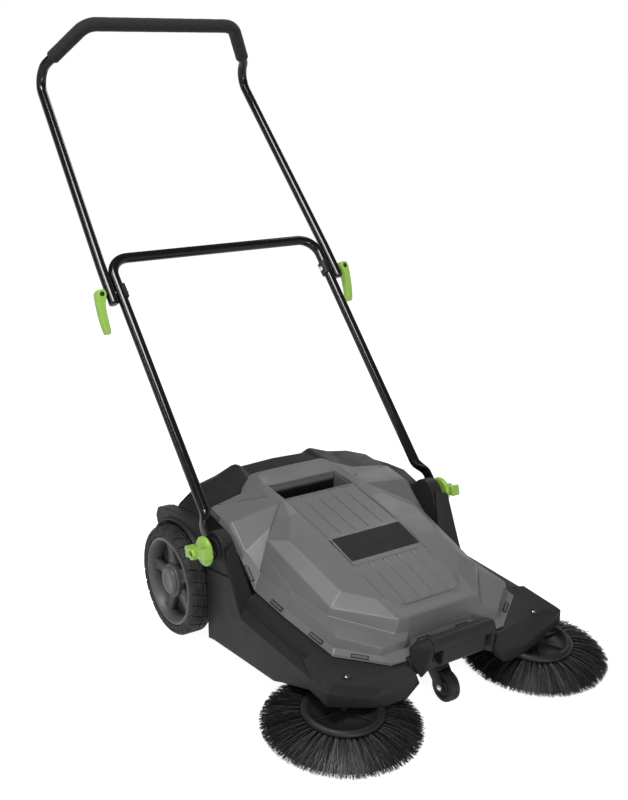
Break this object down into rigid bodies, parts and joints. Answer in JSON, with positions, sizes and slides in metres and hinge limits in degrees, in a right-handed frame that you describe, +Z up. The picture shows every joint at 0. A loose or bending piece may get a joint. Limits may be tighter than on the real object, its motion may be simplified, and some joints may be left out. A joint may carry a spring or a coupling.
{
  "type": "walk-behind sweeper",
  "caption": "Manual push floor sweeper with two fanned side brushes, a main roller brush, a lift-out hopper with a hand slot, large rear wheels, a front caster and a folding tube handle.",
  "frame": {"origin": "on the floor, under the middle of the machine with its handle up", "axes": "+Z up, -Y the way the machine sweeps, +X towards its right hand end seen from the front"},
  "size_m": [0.6584, 1.1368, 1.0756],
  "materials": {
    "grey_plastic": "textured mid grey moulding",
    "dark_plastic": "dark grey moulding",
    "black_plastic": "black moulding",
    "lime_plastic": "lime green moulding",
    "black_tube": "glossy black painted steel tube",
    "foam": "matt black foam sleeve",
    "tyre_rubber": "black rubber",
    "soft_rubber": "black rubber belt and lip",
    "bristle": "black nylon bristle",
    "zinc_steel": "zinc plated steel"
  },
  "bodies": {
    "chassis": {"rear_cover": "black_plastic", "front_fascia": "dark_plastic", "caster_mount": "black_plastic", "roller_hood": "black_plastic", "cross_beam": "black_plastic", "dust_lip": "soft_rubber", "roller_belt": "soft_rubber", "frame_plate_left": "black_plastic", "frame_plate_right": "black_plastic", "side_housing_left": "dark_plastic", "side_housing_right": "dark_plastic", "wheel_arch_left": "dark_plastic", "wheel_arch_right": "dark_plastic", "handle_bracket_left": "dark_plastic", "handle_bracket_right": "dark_plastic", "brush_pod_left": "dark_plastic", "brush_pod_right": "dark_plastic", "pod_screw_left": "zinc_steel", "pod_screw_right": "zinc_steel", "stub_axle_left": "zinc_steel", "stub_axle_right": "zinc_steel", "roller_bearing_left": "black_plastic", "roller_bearing_right": "black_plastic", "side_belt_left": "soft_rubber", "side_belt_right": "soft_rubber"},
    "hopper": {"hopper_lid": "grey_plastic", "hopper_tub": "black_plastic", "label_plate": "black_plastic"},
    "wheel_left": {"tyre_left": "tyre_rubber", "wheel_rim_left": "grey_plastic", "hub_cap_left": "grey_plastic"},
    "pinion_left": {"pinion_shaft_left": "zinc_steel"},
    "side_brush_left": {"side_bristles_left": "bristle", "side_brush_hub_left": "black_plastic", "brush_spindle_left": "zinc_steel"},
    "cam_lever_left": {"cam_lever_left": "lime_plastic"},
    "wing_knob_left": {"wing_knob_left": "lime_plastic"},
    "wheel_right": {"tyre_right": "tyre_rubber", "wheel_rim_right": "grey_plastic", "hub_cap_right": "grey_plastic"},
    "pinion_right": {"pinion_shaft_right": "zinc_steel"},
    "side_brush_right": {"side_bristles_right": "bristle", "side_brush_hub_right": "black_plastic", "brush_spindle_right": "zinc_steel"},
    "cam_lever_right": {"cam_lever_right": "lime_plastic"},
    "wing_knob_right": {"wing_knob_right": "lime_plastic"},
    "roller": {"roller_core": "black_plastic", "roller_bristles": "bristle"},
    "caster_fork": {"caster_fork": "black_plastic", "caster_axle_bolt": "zinc_steel"},
    "caster_wheel": {"caster_wheel": "tyre_rubber"},
    "lower_handle": {"lower_handle": "black_tube", "clamp_saddle_left": "black_plastic", "clamp_saddle_right": "black_plastic", "clamp_bolt_left": "zinc_steel", "clamp_bolt_right": "zinc_steel"},
    "upper_handle": {"upper_handle": "black_tube", "foam_grip": "foam"}
  },
  "joints": [
    {"name": "wheel_left_spin", "type": "hinge", "parent": "chassis", "child": "wheel_left", "pos_m": [-0.245, 0.0106, 0.09969], "axis": [1, 0, 0], "continuous": true},
    {"name": "pinion_left_spin", "type": "hinge", "parent": "chassis", "child": "pinion_left", "pos_m": [-0.2, -0.0374, 0.09969], "axis": [1, 0, 0], "continuous": true},
    {"name": "side_brush_left_spin", "type": "hinge", "parent": "chassis", "child": "side_brush_left", "pos_m": [-0.2004, -0.4404, 0.0176], "axis": [0, -0.1115, 0.9938], "continuous": true},
    {"name": "wheel_right_spin", "type": "hinge", "parent": "chassis", "child": "wheel_right", "pos_m": [0.245, 0.0106, 0.09969], "axis": [1, 0, 0], "continuous": true},
    {"name": "pinion_right_spin", "type": "hinge", "parent": "chassis", "child": "pinion_right", "pos_m": [0.2, -0.0374, 0.09969], "axis": [1, 0, 0], "continuous": true},
    {"name": "side_brush_right_spin", "type": "hinge", "parent": "chassis", "child": "side_brush_right", "pos_m": [0.2004, -0.4404, 0.0176], "axis": [0, -0.1115, 0.9938], "continuous": true},
    {"name": "roller_spin", "type": "hinge", "parent": "chassis", "child": "roller", "pos_m": [0, -0.2374, 0.049], "axis": [1, 0, 0], "continuous": true},
    {"name": "caster_swivel", "type": "hinge", "parent": "chassis", "child": "caster_fork", "pos_m": [0, -0.4174, 0.06], "axis": [0, 0, 1], "continuous": true},
    {"name": "caster_wheel_spin", "type": "hinge", "parent": "caster_fork", "child": "caster_wheel", "pos_m": [0, -0.4494, 0.02578], "axis": [1, 0, 0], "continuous": true},
    {"name": "hopper_lift", "type": "slide", "parent": "chassis", "child": "hopper", "axis": [0, 0, 1], "range_m": [0, 0.25]},
    {"name": "lower_handle_fold", "type": "hinge", "parent": "chassis", "child": "lower_handle", "pos_m": [0, -0.1174, 0.203], "axis": [1, 0, 0], "range_deg": [0, 110]},
    {"name": "upper_handle_fold", "type": "hinge", "parent": "lower_handle", "child": "upper_handle", "pos_m": [0, 0.2326, 0.5855], "axis": [1, 0, 0], "range_deg": [-145, 0]},
    {"name": "cam_lever_left_open", "type": "hinge", "parent": "lower_handle", "child": "cam_lever_left", "pos_m": [-0.2705, 0.2326, 0.5855], "axis": [0, 0.9397, -0.3419], "range_deg": [0, 110]},
    {"name": "wing_knob_left_turn", "type": "hinge", "parent": "chassis", "child": "wing_knob_left", "pos_m": [-0.26, -0.1174, 0.203], "axis": [-1, 0, 0], "range_deg": [0, 360]},
    {"name": "cam_lever_right_open", "type": "hinge", "parent": "lower_handle", "child": "cam_lever_right", "pos_m": [0.2705, 0.2326, 0.5855], "axis": [0, -0.9397, 0.3419], "range_deg": [0, 110]},
    {"name": "wing_knob_right_turn", "type": "hinge", "parent": "chassis", "child": "wing_knob_right", "pos_m": [0.26, -0.1174, 0.203], "axis": [1, 0, 0], "range_deg": [0, 360]}
  ],
  "couplings": [
    {"joint": "pinion_left_spin", "follows": "wheel_left_spin", "ratio": 5},
    {"joint": "side_brush_left_spin", "follows": "wheel_left_spin", "ratio": 2.6667},
    {"joint": "pinion_right_spin", "follows": "wheel_right_spin", "ratio": 5},
    {"joint": "side_brush_right_spin", "follows": "wheel_right_spin", "ratio": -2.6667},
    {"joint": "roller_spin", "follows": "wheel_left_spin", "ratio": 5}
  ]
}
